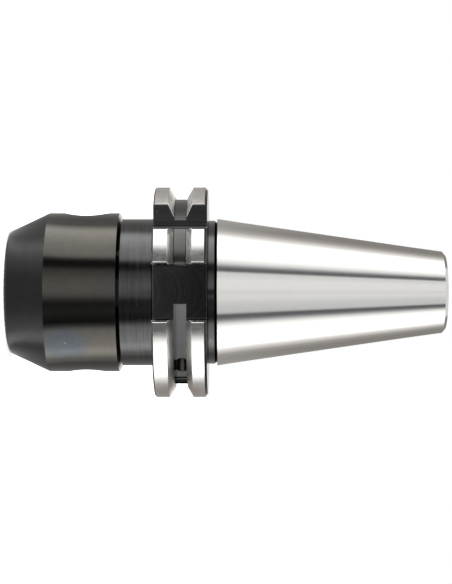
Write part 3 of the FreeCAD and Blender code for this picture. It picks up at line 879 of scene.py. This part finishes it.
FOOT_RADIUS = 0.045
TENT_PROFILE = [
    (0.0188, 0.0003), (0.07, 0.001), (0.30, 0.001), (0.42, 0.03), (0.45, 0.08), (0.45, 0.40), (0.40, 0.60)]
TENT_OPENING = math.radians(8)
TENT_STEPS = 90


def tent_ramp(tree, turn, stops):
    """A colour ramp round the holder."""
    node = tree.add("ShaderNodeValToRGB", {"Fac": turn})
    elements = node.color_ramp.elements
    for index, (degrees, brightness, warm) in enumerate(stops):
        at = (degrees + 180) / 360
        element = elements[index] if index < 2 else elements.new(at)
        element.position = at
        level = brightness / BRIGHTEST
        element.color = (level * (1 + warm), level, level * (1 - warm), 1.0)
    return node.outputs["Color"]


def tent_colour(tree, across, along, up):
    """The softboxes' bands, raised or not, and the backdrop, as shares of the brightest level."""
    opposite = [tree.math("MULTIPLY", number, -1.0) for number in (across, along)]
    turn = tree.math("ARCTAN2", *opposite)
    lean = tree.ramp(up, LEAN_LOW, LEAN_HIGH, 1.0, LEAN)
    share = tree.math("MULTIPLY_ADD", tree.math("MULTIPLY", turn, lean), 0.5 / math.pi, 0.5)
    outwards = tree.math("DIVIDE", tree.place()[3], 1 / MM)
    beyond_foot = tree.ramp(outwards, FOOT_RADIUS, 2 * FOOT_RADIUS)
    foot = tent_ramp(tree, share, TENT_FOOT)
    level = tree.tint(beyond_foot, foot, tent_ramp(tree, share, TENT_LEVEL))
    lifted = tree.math("MULTIPLY", tree.math("SUBTRACT", lean, 1.0), LIFT / (LEAN - 1) / BRIGHTEST)
    level = tree.add("ShaderNodeVectorMath", {0: level, 1: lifted}, operation="ADD").outputs[0]
    colour = tree.tint(tree.ramp(up, *RAISED_STRETCH), level, tent_ramp(tree, share, TENT_RAISED))
    side_blur, top_blur = BACKDROP_BLUR
    backdrop = tree.both(tree.above(along, 0.0, side_blur), tree.both(
        tree.between(across, -BACKDROP_HALF, BACKDROP_HALF, side_blur),
        tree.between(up, BACKDROP_LOW, BACKDROP_TOP, top_blur)))
    return tree.tint(backdrop, colour, (BACKDROP_LEVEL / BRIGHTEST,) * 3)


def tent_material():
    """Softboxes to both sides, dark gaps, a pale card round the camera and grey behind."""
    material = bpy.data.materials.new("light_tent")
    tree = NodeTree(material)
    place = tree.add("ShaderNodeTexCoord").outputs["Object"]
    across, along, up = tree.add("ShaderNodeSeparateXYZ", {"Vector": place}).outputs
    colour = tent_colour(tree, across, along, up)
    squares = tree.math("ADD", tree.square(across), tree.square(tree.math("SUBTRACT", up, LENS_HEIGHT)))
    off_lens = tree.above(tree.math("SQRT", squares), LENS_RADIUS, LENS_BLUR)
    lens = tree.both(tree.math("LESS_THAN", along, 0.0), tree.inverse(off_lens))
    strength = tree.blend(lens, BRIGHTEST, BRIGHTEST * LENS_LEVEL)
    glow = tree.add("ShaderNodeEmission", {"Color": colour, "Strength": strength})
    tree.add("ShaderNodeOutputMaterial", {"Surface": glow.outputs[0]})
    material.cycles.emission_sampling = "NONE"
    return material


def light_tent():
    """A round tent open at the top and behind, seen only by the metal's reflections."""
    mesh_data = bmesh.new()
    before = None
    for step in range(TENT_STEPS + 1):
        turn = -math.pi + TENT_OPENING + (2 * math.pi - 2 * TENT_OPENING) * step / TENT_STEPS
        side = [
            mesh_data.verts.new((-radius * math.sin(turn), -radius * math.cos(turn), height))
            for radius, height in TENT_PROFILE]
        if before:
            for index in range(len(TENT_PROFILE) - 1):
                mesh_data.faces.new((before[index], before[index + 1], side[index + 1], side[index]))
        before = side
    mesh = bpy.data.meshes.new("light_tent")
    mesh_data.to_mesh(mesh)
    mesh_data.free()
    tent = bpy.data.objects.new("light_tent", mesh)
    bpy.context.scene.collection.objects.link(tent)
    tent.data.materials.append(tent_material())
    tent.visible_camera = False
    tent.visible_diffuse = False
    tent.visible_shadow = False


def soft_lamp(name, place, energy):
    """A square area lamp aimed at the middle of the holder, not mirrored itself."""
    data = bpy.data.lights.new(name, "AREA")
    data.size = LAMP_SIZE
    data.energy = energy
    lamp = bpy.data.objects.new(name, data)
    bpy.context.scene.collection.objects.link(lamp)
    lamp.location = place
    aim = Vector((0, 0, SMALL_END / 2)) - lamp.location
    lamp.rotation_mode = "QUATERNION"
    lamp.rotation_quaternion = aim.to_track_quat("-Z", "Y")
    lamp.visible_glossy = False
    lamp.visible_camera = False


floor = make_plane("floor", FLOOR_SIZE, FLOOR_HEIGHT)
floor.data.materials.append(floor_material())
white_world()
light_tent()
soft_lamp("key_lamp", (-0.5, -0.35, 0.9), 7.0)
soft_lamp("fill_lamp", (0.55, -0.45, 0.8), 5.0)
soft_lamp("back_lamp", (0.0, 0.6, 0.9), 5.0)

# Camera: the picture is 452 by 584, its long side upright

PHOTO_WIDTH = 452
PHOTO_HEIGHT = 584
PIXELS_PER_METRE = 3296
NOSE_COLUMN = 11.2
AHEAD_COLUMN = 240
AXIS_ROW = 292.2
CAMERA_DISTANCE = 0.550
SENSOR_WIDTH = 36

camera_data = bpy.data.cameras.new("camera")
camera = bpy.data.objects.new("camera", camera_data)
bpy.context.scene.collection.objects.link(camera)
bpy.context.scene.camera = camera
camera_data.sensor_width = SENSOR_WIDTH
camera_data.lens = PIXELS_PER_METRE * CAMERA_DISTANCE * SENSOR_WIDTH / PHOTO_HEIGHT
camera_data.shift_x = (PHOTO_WIDTH / 2 - AHEAD_COLUMN) / PHOTO_HEIGHT
camera_data.shift_y = (AXIS_ROW - PHOTO_HEIGHT / 2) / PHOTO_HEIGHT
camera_data.clip_start = 0.01
camera_data.clip_end = 50
camera_height = (AHEAD_COLUMN - NOSE_COLUMN) / PIXELS_PER_METRE
picture_right = Vector((0, 0, 1))
picture_up = Vector((-1, 0, 0))
towards_camera = Vector((0, -1, 0))
axes = Matrix((picture_right, picture_up, towards_camera)).transposed().to_4x4()
camera.matrix_world = Matrix.Translation((0, -CAMERA_DISTANCE, camera_height)) @ axes

bpy.context.scene.view_settings.view_transform = "Standard"
